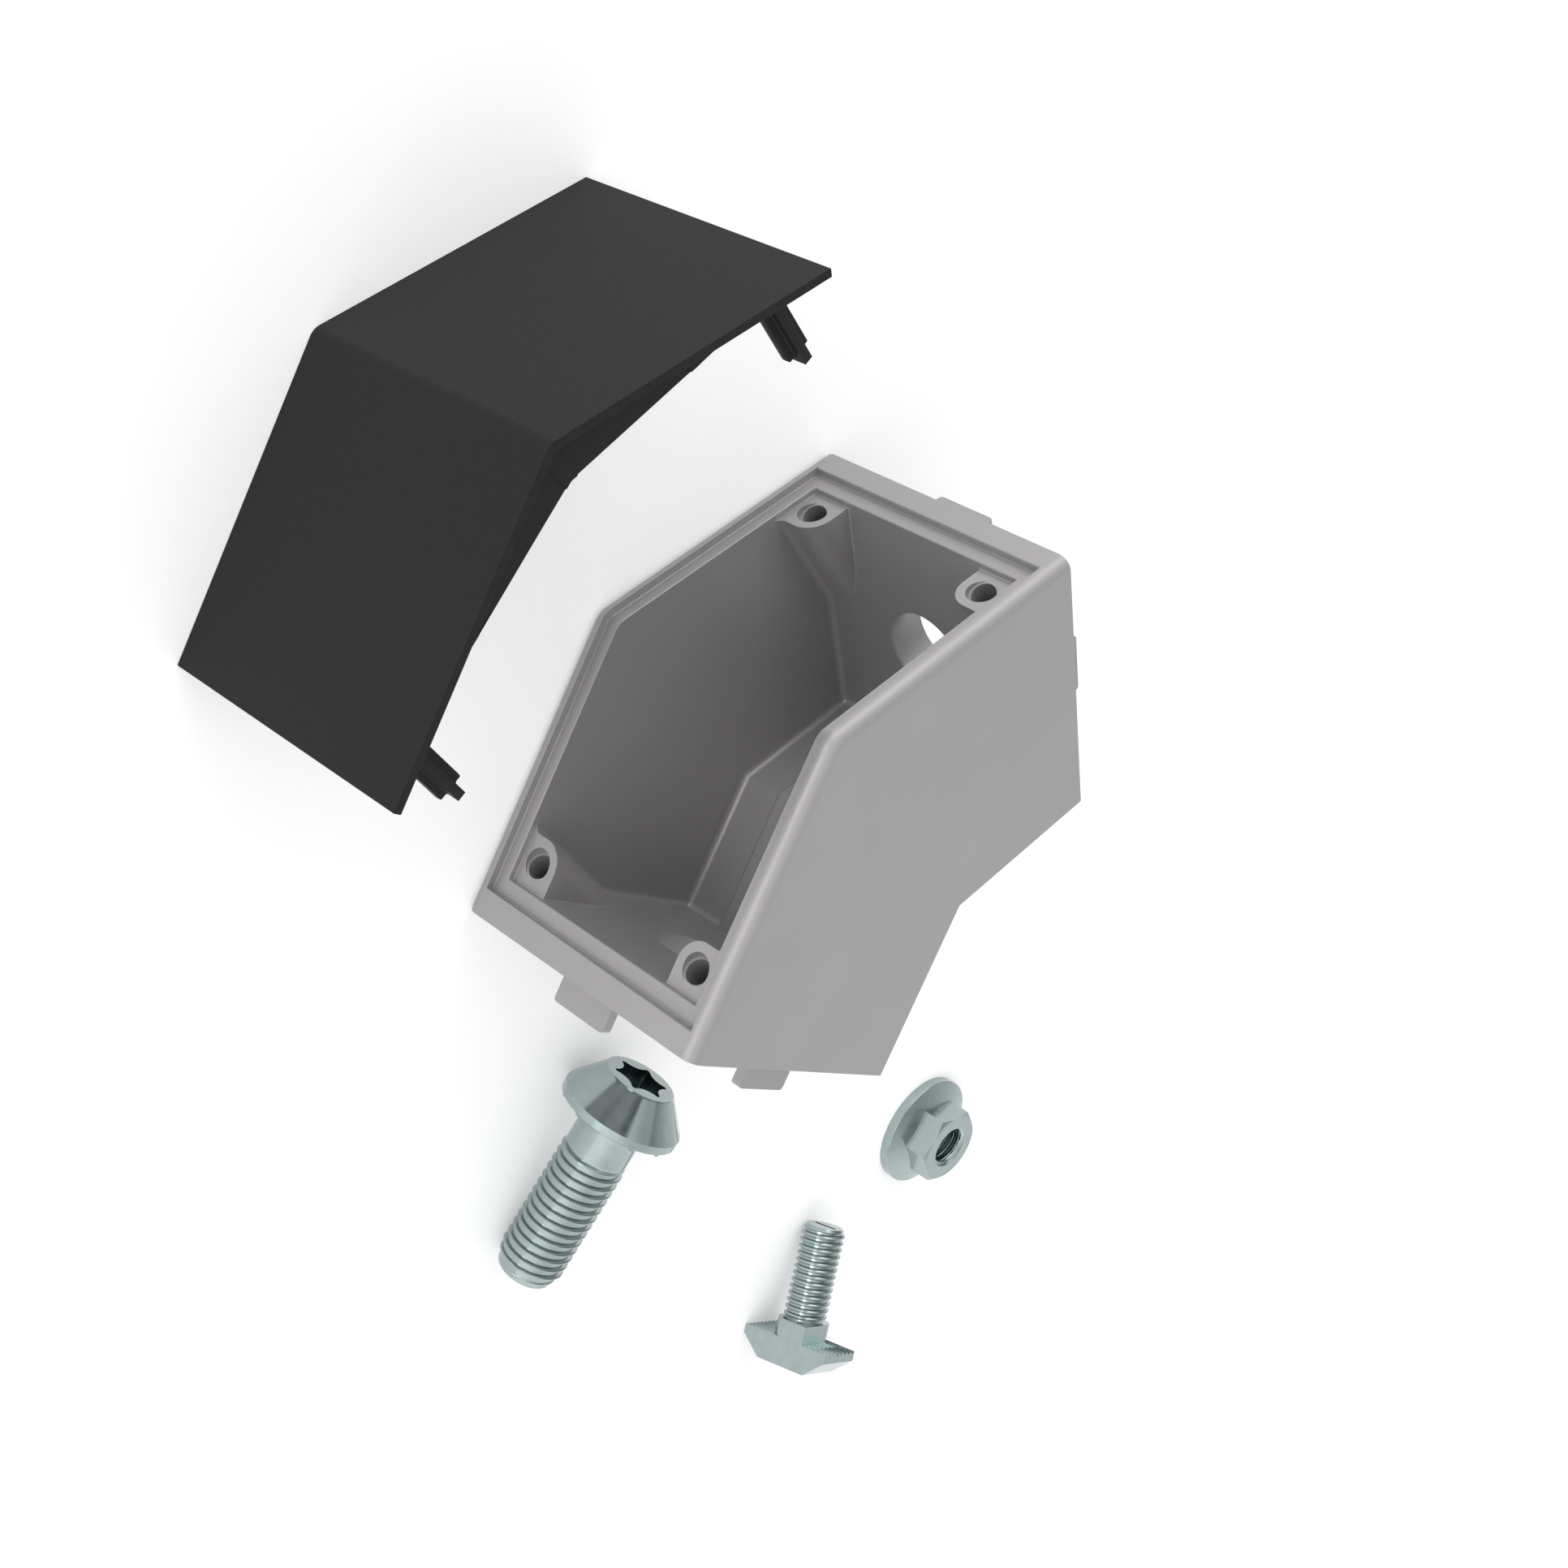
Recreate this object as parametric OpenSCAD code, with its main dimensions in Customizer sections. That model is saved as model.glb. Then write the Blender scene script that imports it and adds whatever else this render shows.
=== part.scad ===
// Angle connector for two square aluminium profiles that meet at 45 degrees.
// A cast elbow housing is bolted to the profile ends through its two end walls,
// and a moulded cover cap snaps over the opening. One flange screw, one T-head bolt
// and one flange nut go with it. The cap and the fasteners lie loose beside the housing.
// X runs across the bend, Y out of the opening, Z from one side plate to the other.
// The origin is where the two bolt axes cross, seen on the side plate that lies on the bench.

/* [Housing] */
// Width across the two side plates, the same as the profile's width
section_w = 45; // [42:0.5:60]
// Distance from the bolt axis to the open cover side
axis_depth = 22.5; // [21:0.5:26]
// Distance from the bolt axis to the closed back face
back_depth = 21.2; // [20:0.1:26]
// Angle between the two arms' axes
bend_angle = 45; // [30:1:60]
// Length of each arm along its outer edge, from the bend to the end face
arm_len = 44.8; // [43:0.2:60]
// Wall thickness of each side plate
side_wall = 4; // [3.4:0.1:5]
// Wall thickness of each end wall
end_wall = 6.4; // [5.6:0.1:8]
// Wall thickness of the back wall
back_wall = 3; // [2:0.1:4]
// Rounding of the long edges beside the opening
edge_r = 2; // [1.4:0.1:2]
// Rounding inside, where the walls meet
inner_r = 1; // [0.5:0.1:1.5]
// Diameter of the bolt hole in each end wall
bolt_hole_d = 13; // [11:0.5:15]
// Width of the raised pad on the back wall
pad_w = 21; // [16:0.5:24]
// Height of the raised pad
pad_h = 1.5; // [0.8:0.1:2]
// Width of the slope at each long edge of the pad
pad_slope = 1; // [0.5:0.1:2]

/* [Cover seat] */
// Width of the rim on each side plate
rim_side = 2.1; // [2.1:0.1:2.8]
// Width of the rim on each end wall
rim_end = 3.85; // [3:0.05:4.5]
// Depth of the ledge that carries the cap
seat_depth = 1.2; // [1:0.1:1.5]

/* [Peg bosses] */
// Distance of each peg hole from the end face
boss_from_end = 10.1; // [9.5:0.1:12]
// Distance of each peg hole from the outer face of the side plate
boss_from_side = 6.9; // [6.5:0.1:8]
// Radius of the boss's round nose
boss_r = 3.4; // [3:0.1:3.8]
// Drop of the boss's top below the ledge
boss_drop = 1; // [0.6:0.1:1.5]
// Radius of the hollow where the boss meets the side plate
boss_fillet = 1.2; // [0.6:0.1:1.5]
// Diameter of the peg hole
peg_hole_d = 3.6; // [3.2:0.1:4]
// Depth of the peg hole below the boss's top
peg_hole_depth = 11; // [10.5:0.5:12]
// Diameter of the wider mouth of the peg hole
peg_mouth_d = 4.25; // [4.1:0.05:4.6]
// Depth of the wider mouth
peg_mouth_depth = 0.8; // [0.5:0.1:1.2]

/* [Profile lugs] */
// Width of each lug, which slides into a profile slot
lug_w = 9.7; // [8:0.1:9.9]
// Thickness of each lug
lug_t = 1.6; // [1.2:0.1:2.5]
// Height of each lug above the end face
lug_len = 4.75; // [3:0.25:6]
// Distance from the bolt axis to the lug's outer face
lug_out = 18.8; // [17:0.1:19.5]
// Rounding of the lug's free corners
lug_corner_r = 0.6; // [0.3:0.1:1]

/* [Cover cap] */
// Thickness of the cap's plate
cap_t = 1.1; // [0.9:0.05:1.2]
// Gap between the cap and the rim all round
cap_gap = 0.1; // [0.05:0.05:0.2]
// Gap between a peg and its hole
peg_gap = 0.05; // [0.03:0.01:0.1]
// Length of each peg's cross below the cap's underside
peg_len = 10.1; // [9:0.1:10.4]
// How far the blade across the arm reaches past the rest of the peg
peg_tip = 1.15; // [0.5:0.05:1.3]
// Thickness of the peg's blades
peg_blade_t = 1.2; // [0.9:0.1:1.5]
// Rounding of the peg's free corners
peg_corner_r = 0.3; // [0.2:0.1:1.2]
// Thickness of the stiffening web on each side
web_t = 1.2; // [0.8:0.1:1.6]
// Reach of the web along each arm, from the bend's outer edge
web_reach = 31.8; // [26:0.2:32]
// Depth of the web below the cap's outer edge at the bend
web_depth = 7.5; // [6:0.1:8]
// Distance of the outer ribs from the bend's outer edge
rib_place = 20.7; // [16:0.1:23]
// Width of the middle rib
mid_rib_w = 2; // [1:0.1:3]
// Width of each outer rib
side_rib_w = 1.4; // [0.8:0.1:2.4]
// Height of the ribs over the web's outer face
rib_h = 0.15; // [0.1:0.05:0.4]
// How far the outer ribs stand below the web's edge
rib_drop = 0.1; // [0.05:0.05:0.4]

/* [Flange screw] */
// Length of the screw under its head
screw_len = 30; // [26:1:40]
// Diameter over the thread's crests
screw_thread_d = 10.8; // [10:0.1:12]
// Diameter of the plain shank under the head
screw_shank_d = 10.2; // [9.5:0.1:11]
// Length of the plain shank
screw_shank_len = 7; // [4:0.5:10]
// Diameter of the flat tip
screw_tip_d = 9; // [8:0.1:9.6]
// Length of the taper at the tip
screw_tip_len = 1.5; // [1:0.1:2.5]
// Diameter of the head's flange
screw_flange_d = 19.5; // [17:0.5:22]
// Thickness of the flange's rim
screw_rim_t = 1.4; // [1:0.1:2]
// Height of the head
screw_head_h = 6.7; // [5.5:0.1:8]
// Diameter of the head's flat top
screw_top_d = 11.5; // [11:0.1:13]
// Width of the six-lobed socket across its lobes
socket_d = 8.8; // [8:0.1:9.4]
// Width of the socket across its flutes
socket_flute_d = 6.4; // [5.8:0.1:7]
// Depth of the socket
socket_depth = 4.2; // [3:0.1:5]
// Number of small locking nibs under the flange
nib_count = 12; // [6:1:16]
// Height of the nibs
nib_h = 0.35; // [0.2:0.05:0.5]

/* [T-head bolt] */
// Length of the T-shaped head
tee_len = 18.2; // [16:0.1:20]
// Width of the head and of its neck
tee_w = 9.6; // [9:0.1:10]
// Thickness of the head under its wings' tops
tee_h = 5.1; // [4:0.1:6]
// Length of the flat underneath the head
tee_flat = 10.3; // [9:0.1:12]
// Height of the upright face at each wing's end
tee_end_h = 1.8; // [1.4:0.1:3]
// Length of the square neck
neck_len = 7.6; // [7:0.1:8.4]
// Height of the neck over the wings
neck_h = 3.3; // [2:0.1:4]
// Rounding of two opposite corners of the neck
neck_r = 2.8; // [1:0.1:3.5]
// Number of teeth on each wing
tooth_count = 8; // [5:1:10]
// Height of the teeth
tooth_h = 0.6; // [0.3:0.1:0.9]
// Diameter over the bolt's thread
bolt_d = 8; // [7:0.1:9]
// Length of the thread above the neck
bolt_len = 17.5; // [14:0.5:26]
// Width of the chamfer at the thread's tip
bolt_chamfer = 0.7; // [0.4:0.1:1]

/* [Flange nut] */
// Width across the nut's flats
nut_flats = 13; // [12:0.1:14]
// Height of the nut
nut_h = 8; // [7:0.1:10]
// Diameter of the nut's flange
nut_flange_d = 21.5; // [18:0.5:24]
// Thickness of the flange's rim
nut_rim_t = 1.8; // [1.2:0.1:2.4]
// Height of the flange's cone where it meets the hexagon's flats
nut_cone_h = 3.4; // [2.8:0.1:4]
// Chamfer at each mouth of the nut's thread
nut_chamfer = 0.7; // [0.4:0.1:1]
// Depth of the bolt's and the nut's thread, over the diameter
thread_depth = 1.35; // [1.1:0.05:1.6]
// Gap between the bolt's thread and the nut's, over the diameter
thread_gap = 0.1; // [0.05:0.05:0.2]

/* [Places on the bench] */
// Cap's shift across the bend, from its seat
cap_x = -4.3; // [-20:0.1:20]
// Cap's shift out of the opening, from its seat
cap_y = 63.5; // [45:0.5:120]
// Middle of the screw's flange, across the bend
screw_x = -50.6; // [-80:0.1:-50]
// Middle of the screw's flange, along the opening's direction
screw_y = -38.6; // [-80:0.1:-38]
// Middle of the underside of the T-shaped head, across the bend
bolt_x = -66; // [-90:0.5:-60]
// Middle of the underside of the T-shaped head, along the opening's direction
bolt_y = -132; // [-150:0.5:-100]
// Middle of the nut, across the bend
nut_x = -16.8; // [-25:0.1:40]
// Middle of the nut, along the opening's direction
nut_y = -136.2; // [-150:0.1:-60]
// Turn of the nut's flats
nut_turn = 12; // [0:1:59]

/* [Hidden] */
$fn = 64;
half_bend = bend_angle / 2;
mid_z = section_w / 2;
over = 1;
// Along each arm from the crossing of the bolt axes: the end face and its inner side
end_at = arm_len - axis_depth * tan(half_bend);
inner_end_at = end_at - end_wall;
// Offsets from the bolt axis, positive towards the opening
floor_at = -(back_depth - back_wall);
ledge_at = axis_depth - seat_depth;
boss_top_at = ledge_at - boss_drop;
// The peg holes and the pegs run along Y, so their place across the bend stays the same
peg_x = arm_point(end_at - boss_from_end, boss_top_at)[0];
boss_top_y = arm_point(end_at - boss_from_end, boss_top_at)[1];
apex_y = axis_depth / cos(half_bend);
// Distance along the bolt axis that matches the bend at the outer edge
apex_along = -axis_depth * tan(half_bend);

// A point of the right arm, from its length along the bolt axis and its offset from it
function arm_point(along, offset) =
    [along * cos(half_bend) + offset * sin(half_bend), offset * cos(half_bend) - along * sin(half_bend)];
function mirrored(point) = [-point[0], point[1]];

// Puts the children on both arms: x along the bolt axis, y towards the opening
module on_arms() {
    rotate([0, 0, -half_bend]) children();
    mirror([1, 0, 0]) rotate([0, 0, -half_bend]) children();
}

// Repeats the children at the other side plate
module on_plates() {
    children();
    translate([0, 0, section_w]) mirror([0, 0, 1]) children();
}

// Side view of both arms, from the back offset to the front offset
module band(back, front, reach) {
    polygon([
        mirrored(arm_point(reach, front)), [0, front / cos(half_bend)], arm_point(reach, front),
        arm_point(reach, back), [0, back / cos(half_bend)], mirrored(arm_point(reach, back))
    ]);
}

// Side view of the layer that lies on the ledge
module seat_layer(thickness, reach) {
    difference() {
        band(0, ledge_at + thickness, reach);
        band(-over, ledge_at, reach + over);
    }
}

// Hollow between two walls that meet at a right angle, with its corner at the origin
module corner_hollow(r) {
    difference() {
        translate([-over, -over]) square(r + over);
        translate([r, r]) circle(r);
    }
}

// Section of an arm's outside, with the long edges beside the opening rounded
module outer_section() {
    front = axis_depth - edge_r;
    translate([-back_depth, 0]) square([back_depth + front, section_w]);
    translate([0, edge_r]) square([axis_depth, section_w - 2 * edge_r]);
    for (z = [edge_r, section_w - edge_r]) translate([front, z]) circle(edge_r);
}

// Section of an arm's hollow, with the pad's outline in its floor
module hollow_section() {
    high = section_w - side_wall;
    pad_low = mid_z - pad_w / 2;
    pad_high = mid_z + pad_w / 2;
    polygon([
        [axis_depth + over, side_wall], [floor_at + inner_r, side_wall],
        [floor_at, side_wall + inner_r], [floor_at, pad_low - pad_slope],
        [floor_at + pad_h, pad_low], [floor_at + pad_h, pad_high],
        [floor_at, pad_high + pad_slope], [floor_at, high - inner_r],
        [floor_at + inner_r, high], [axis_depth + over, high]
    ]);
    for (z = [side_wall + inner_r, high - inner_r]) translate([floor_at + inner_r, z]) circle(inner_r);
}

// Both arms with their hollows, cut where they meet
module shell() {
    for (side = [0, 1]) mirror([side, 0, 0]) intersection() {
        rotate([0, 0, -half_bend]) difference() {
            translate([-axis_depth, 0, 0]) rotate([90, 0, 90])
                linear_extrude(axis_depth + end_at) outer_section();
            translate([-axis_depth - over, 0, 0]) rotate([90, 0, 90])
                linear_extrude(axis_depth + over + inner_end_at) hollow_section();
        }
        translate([0, -2 * arm_len, -over]) cube([2 * arm_len, 4 * arm_len, section_w + 2 * over]);
    }
}

// Outline of a boss, seen along its peg hole, with the side plate below it
module boss_outline() {
    plate = side_wall - boss_from_side;
    circle(boss_r);
    translate([-boss_r, plate - over]) square([boss_r + end_wall, over - plate]);
    translate([0, plate - over]) square([end_wall, boss_r + over - plate]);
    translate([-boss_r, plate]) mirror([1, 0]) corner_hollow(boss_fillet);
}

// Boss of the right arm by the lower side plate: a post that runs into the end wall
module boss() {
    depth = boss_top_y + back_depth;
    intersection() {
        translate([peg_x, boss_top_y + boss_r, boss_from_side]) rotate([90, 0, 0])
            linear_extrude(depth) boss_outline();
        rotate([0, 0, -half_bend]) translate([0, floor_at, 0])
            cube([inner_end_at + over, boss_top_at - floor_at, section_w]);
    }
}

module peg_hole() {
    translate([peg_x, boss_top_y - peg_hole_depth, boss_from_side]) rotate([-90, 0, 0])
        cylinder(d = peg_hole_d, h = peg_hole_depth + 2 * over);
    translate([peg_x, boss_top_y - peg_mouth_depth, boss_from_side]) rotate([-90, 0, 0])
        cylinder(d = peg_mouth_d, h = peg_mouth_depth + 2 * over);
}

// One lug on the side of the opening, with its free corners rounded
module lug() {
    translate([0, lug_out, 0]) rotate([90, 0, 0]) linear_extrude(lug_t) {
        translate([-over, -lug_w / 2]) square([lug_len + over - lug_corner_r, lug_w]);
        translate([-over, lug_corner_r - lug_w / 2]) square([lug_len + over, lug_w - 2 * lug_corner_r]);
        for (side = [-1, 1]) translate([lug_len - lug_corner_r, side * (lug_w / 2 - lug_corner_r)])
            circle(lug_corner_r);
    }
}

// Roundings between the end wall and the plates, and between it and the floor
module end_wall_hollows() {
    on_arms() {
        on_plates() translate([inner_end_at, boss_top_at, side_wall]) rotate([90, 0, 0])
            linear_extrude(boss_top_at - floor_at) mirror([1, 0]) corner_hollow(inner_r);
        translate([inner_end_at, floor_at, side_wall])
            linear_extrude(section_w - 2 * side_wall) mirror([1, 0]) corner_hollow(inner_r);
    }
}

module housing() {
    color("#a3a1a2") difference() {
        union() {
            shell();
            end_wall_hollows();
            on_plates() {
                boss();
                mirror([1, 0, 0]) boss();
            }
            on_arms() for (turn = [0, 90, 180, 270])
                translate([end_at, 0, mid_z]) rotate([turn, 0, 0]) lug();
        }
        translate([0, 0, rim_side]) linear_extrude(section_w - 2 * rim_side)
            seat_layer(seat_depth + over, end_at - rim_end);
        on_plates() {
            peg_hole();
            mirror([1, 0, 0]) peg_hole();
        }
        on_arms() translate([inner_end_at - over, 0, mid_z]) rotate([0, 90, 0])
            cylinder(d = bolt_hole_d, h = end_wall + 2 * over);
    }
}

// Cross-shaped peg that hangs from the cap, with its blade across the arm reaching further
module peg() {
    peg_d = peg_hole_d - 2 * peg_gap;
    underside_y = (ledge_at - peg_x * sin(half_bend)) / cos(half_bend);
    length = peg_len + cap_t;
    intersection() {
        translate([peg_x, underside_y + cap_t, boss_from_side]) rotate([90, 0, 0]) {
            intersection() {
                cylinder(d = peg_d, h = length + peg_tip);
                union() {
                    translate([0, peg_blade_t / 2, 0]) rotate([90, 0, 0])
                        linear_extrude(peg_blade_t) blade_outline(peg_d, length);
                    translate([-peg_blade_t / 2, 0, 0]) rotate([90, 0, 90])
                        linear_extrude(peg_blade_t) blade_outline(peg_d, length + peg_tip);
                }
            }
        }
        rotate([0, 0, -half_bend]) translate([0, floor_at, 0])
            cube([end_at, ledge_at + cap_t / 2 - floor_at, section_w]);
    }
}

// Outline of one blade, with its free corners rounded
module blade_outline(width, length) {
    translate([-width / 2, 0]) square([width, length - peg_corner_r]);
    translate([peg_corner_r - width / 2, 0]) square([width - 2 * peg_corner_r, length]);
    for (side = [-1, 1]) translate([side * (width / 2 - peg_corner_r), length - peg_corner_r])
        circle(peg_corner_r);
}

// Outline of the web, seen from the side
module web_outline(drop) {
    tip = arm_point(web_reach + apex_along, ledge_at);
    root = arm_point(web_reach + apex_along, ledge_at + cap_t / 2);
    polygon([
        tip, root, [0, (ledge_at + cap_t / 2) / cos(half_bend)], mirrored(root), mirrored(tip),
        [0, apex_y - web_depth - drop]
    ]);
}

// Web by the lower side plate, with ribs that touch the housing's wall
module web() {
    outer = side_wall + cap_gap;
    rib_x = arm_point(rib_place + apex_along, ledge_at)[0];
    translate([0, 0, outer + rib_h]) linear_extrude(web_t) web_outline(0);
    translate([0, 0, outer]) linear_extrude(web_t) {
        intersection() {
            web_outline(0);
            translate([-mid_rib_w / 2, 0]) square([mid_rib_w, apex_y]);
        }
        for (side = [-1, 1]) intersection() {
            web_outline(rib_drop);
            translate([side * rib_x - side_rib_w / 2, 0]) square([side_rib_w, apex_y]);
        }
    }
}

// The cap stands on its long bent edge in front of the opening
module cover_cap() {
    side = rim_side + cap_gap;
    color("#333333") translate([cap_x, cap_y, -side]) {
        translate([0, 0, side]) linear_extrude(section_w - 2 * side)
            seat_layer(cap_t, end_at - rim_end - cap_gap);
        on_plates() {
            web();
            peg();
            mirror([1, 0, 0]) peg();
        }
    }
}

// Six-lobed driver socket
module socket_outline() {
    flute_r = 2.2;
    difference() {
        circle(d = socket_d);
        for (turn = [30:60:330]) rotate(turn) translate([socket_flute_d / 2 + flute_r, 0]) circle(flute_r);
    }
}

// The screw along z, with the underside of its flange at zero
module screw_body() {
    flange_r = screw_flange_d / 2;
    top_r = screw_top_d / 2;
    top_edge = 0.4;
    thread_r = screw_thread_d / 2;
    difference() {
        rotate_extrude() polygon([
            [0, -screw_len], [screw_tip_d / 2, -screw_len], [thread_r, screw_tip_len - screw_len],
            [thread_r, -screw_shank_len], [screw_shank_d / 2, -screw_shank_len],
            [screw_shank_d / 2, 0], [flange_r, 0], [flange_r, screw_rim_t],
            [top_r, screw_head_h - top_edge], [top_r - top_edge, screw_head_h], [0, screw_head_h]
        ]);
        translate([0, 0, screw_head_h - socket_depth]) linear_extrude(socket_depth + over) socket_outline();
    }
    for (i = [0:nib_count - 1]) rotate([0, 0, i * 360 / nib_count]) translate([flange_r - 1.2, -0.3, -nib_h])
        cube([0.8, 0.6, nib_h + over]);
}

// The screw lies on its flange and on the end of its thread, along the left arm's direction
module flange_screw() {
    lean = atan((screw_flange_d - screw_thread_d) / 2 / (screw_len - screw_tip_len));
    color("#a9b8b8") translate([screw_x, screw_y, screw_flange_d / 2 * cos(lean)])
        rotate([0, lean - 90, 180 + half_bend]) screw_body();
}

// Side view of the T-shaped head, open upwards
module tee_outline() {
    half = tee_len / 2;
    polygon([
        [-tee_flat / 2, 0], [tee_flat / 2, 0], [half, tee_h - tee_end_h], [half, tee_h + over],
        [-half, tee_h + over], [-half, tee_h - tee_end_h]
    ]);
}

// Section across the head, with the teeth along its top
module tee_section() {
    pitch = tee_w / tooth_count;
    polygon(concat(
        [[tee_w / 2, tee_h], [tee_w / 2, -over], [-tee_w / 2, -over], [-tee_w / 2, tee_h]],
        [for (i = [1:2 * tooth_count - 1])
            [-tee_w / 2 + i * pitch / 2, tee_h - (i % 2) * tooth_h]]
    ));
}

// The neck, with two opposite corners rounded so that it can turn in a profile slot
module neck_outline() {
    half_l = neck_len / 2;
    half_w = tee_w / 2;
    difference() {
        square([neck_len, tee_w], center = true);
        for (side = [-1, 1]) rotate(side < 0 ? 180 : 0) translate([half_l, half_w]) rotate(180)
            difference() {
                translate([-over, -over]) square(neck_r + over);
                translate([neck_r, neck_r]) circle(neck_r);
            }
    }
}

// The bolt along z, with the underside of its head at zero and the head's length along x
module bolt_body() {
    top = tee_h + neck_h + bolt_len;
    intersection() {
        translate([0, tee_w, 0]) rotate([90, 0, 0]) linear_extrude(2 * tee_w) tee_outline();
        translate([-tee_len, 0, 0]) rotate([90, 0, 90]) linear_extrude(2 * tee_len) tee_section();
    }
    translate([0, 0, tee_h / 2]) linear_extrude(tee_h / 2 + neck_h) neck_outline();
    rotate_extrude() polygon([
        [0, tee_h + neck_h / 2], [bolt_d / 4, tee_h + neck_h / 2], [bolt_d / 4, tee_h + neck_h],
        [bolt_d / 2, tee_h + neck_h], [bolt_d / 2, top - bolt_chamfer],
        [bolt_d / 2 - bolt_chamfer, top], [0, top]
    ]);
}

// The bolt lies on one wing's end and on the end of its thread, with its head's length upright
module t_bolt() {
    tip_at = tee_h + neck_h + bolt_len - bolt_chamfer;
    lean = atan((tee_len - bolt_d) / 2 / (tip_at - tee_h));
    color("#a9b8b8") translate([bolt_x, bolt_y, tee_len / 2 * cos(lean) + tee_h * sin(lean)])
        rotate([0, 90 + lean, half_bend]) bolt_body();
}

// The nut stands on its flange
module flange_nut() {
    corner_r = nut_flats / 2 / cos(30);
    bevel = (corner_r - nut_flats / 2) * tan(30);
    bore_r = (bolt_d - thread_depth + thread_gap) / 2;
    mouth_r = bore_r + nut_chamfer;
    color("#a9b8b8") translate([nut_x, nut_y, 0]) rotate([0, 0, nut_turn]) difference() {
        union() {
            rotate_extrude() polygon([
                [0, 0], [nut_flange_d / 2, 0], [nut_flange_d / 2, nut_rim_t],
                [nut_flats / 2, nut_cone_h], [0, nut_cone_h]
            ]);
            intersection() {
                cylinder(r = corner_r, h = nut_h, $fn = 6);
                rotate_extrude() polygon([
                    [0, 0], [corner_r + over, 0], [corner_r + over, nut_h - bevel - over * tan(30)],
                    [nut_flats / 2, nut_h], [0, nut_h]
                ]);
            }
        }
        translate([0, 0, -over]) cylinder(r = bore_r, h = nut_h + 2 * over);
        translate([0, 0, nut_h - nut_chamfer])
            cylinder(r1 = bore_r, r2 = mouth_r + over, h = nut_chamfer + over);
        translate([0, 0, -over]) cylinder(r1 = mouth_r + over, r2 = bore_r, h = nut_chamfer + over);
    }
}

housing();
cover_cap();
flange_screw();
t_bolt();
flange_nut();
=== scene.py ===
"""Looks of an angle connector set: cast elbow housing, cover cap, screw, T-head bolt and nut.

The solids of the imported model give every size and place. This script gives the pieces their
softened edges, their threads and their finishes, and sets a floor, light and a camera.
"""

import logging
import math
from collections.abc import Callable, Iterator
from contextlib import contextmanager
from dataclasses import dataclass, field
from enum import Enum

import bmesh
import bpy
from mathutils import Matrix, Vector


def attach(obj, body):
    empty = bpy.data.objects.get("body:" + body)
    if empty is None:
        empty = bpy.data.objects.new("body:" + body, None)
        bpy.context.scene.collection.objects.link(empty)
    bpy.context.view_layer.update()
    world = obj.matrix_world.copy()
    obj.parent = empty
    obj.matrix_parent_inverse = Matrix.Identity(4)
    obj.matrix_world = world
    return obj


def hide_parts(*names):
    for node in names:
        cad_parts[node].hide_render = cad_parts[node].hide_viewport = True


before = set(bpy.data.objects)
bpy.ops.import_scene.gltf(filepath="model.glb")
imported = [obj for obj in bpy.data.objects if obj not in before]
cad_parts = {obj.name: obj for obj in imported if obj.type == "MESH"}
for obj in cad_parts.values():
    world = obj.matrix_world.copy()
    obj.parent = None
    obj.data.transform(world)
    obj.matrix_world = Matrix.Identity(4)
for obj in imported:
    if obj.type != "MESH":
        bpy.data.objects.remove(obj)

LOG = logging.getLogger("angle_connector")
MM = 0.001
HALF_BEND = math.radians(22.5)
# Points nearer than this are one point, in metres
TOUCH = 1e-6
# Faces that meet at less than this angle are one flat face
FLAT = math.radians(0.4)
# Index of the first colour, the second colour and the result in a colour mix node
MIX_A, MIX_B, MIX_OUT = 6, 7, 2
Point = tuple[float, float, float]
Outline = list[tuple[float, float]]
Socket = bpy.types.NodeSocket


def linear(code: str) -> tuple[float, float, float, float]:
    """Turns an sRGB hex colour into the linear colour that a shader takes.

    Args:
        code: The colour as six hex digits after a hash sign.

    Returns:
        Linear red, green and blue, and an alpha of one.
    """
    parts = [int(code[i:i + 2], 16) / 255 for i in (1, 3, 5)]
    out = [c / 12.92 if c <= 0.04045 else ((c + 0.055) / 1.055) ** 2.4 for c in parts]
    return (out[0], out[1], out[2], 1.0)


def add_node(tree: bpy.types.NodeTree, kind: str, inputs: dict | None = None,
             **settings: object) -> bpy.types.Node:
    """Adds a shader node with its settings, its values and its links.

    Args:
        tree: The node tree that gets the node.
        kind: The node's type name.
        inputs: For each input, by name or number, a value or the output socket that feeds it.
        **settings: The node's own properties.

    Returns:
        The new node.
    """
    made = tree.nodes.new(kind)
    for name, value in settings.items():
        setattr(made, name, value)
    for key, value in (inputs or {}).items():
        if isinstance(value, Socket):
            tree.links.new(value, made.inputs[key])
        else:
            made.inputs[key].default_value = value
    return made


def activate(piece: bpy.types.Object) -> None:
    """Makes one piece the only selected and active object.

    Args:
        piece: The piece to work on.
    """
    bpy.ops.object.select_all(action="DESELECT")
    piece.select_set(True)
    bpy.context.view_layer.objects.active = piece


@contextmanager
def editing(piece: bpy.types.Object) -> Iterator[None]:
    """Holds a piece in edit mode with all of its mesh selected.

    Args:
        piece: The piece to edit.
    """
    activate(piece)
    bpy.ops.object.mode_set(mode="EDIT")
    bpy.ops.mesh.select_all(action="SELECT")
    yield
    bpy.ops.object.mode_set(mode="OBJECT")


def apply_all(piece: bpy.types.Object) -> None:
    """Applies every modifier of a piece, in order.

    Args:
        piece: The piece with the modifiers.
    """
    activate(piece)
    for name in [m.name for m in piece.modifiers]:
        bpy.ops.object.modifier_apply(modifier=name)


def linked(name: str, data: bpy.types.ID) -> bpy.types.Object:
    """Puts a mesh, a lamp or a camera in the scene as an object at the origin.

    Args:
        name: The object's name.
        data: The mesh, lamp or camera.

    Returns:
        The object.
    """
    made = bpy.data.objects.new(name, data)
    bpy.context.scene.collection.objects.link(made)
    return made


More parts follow.
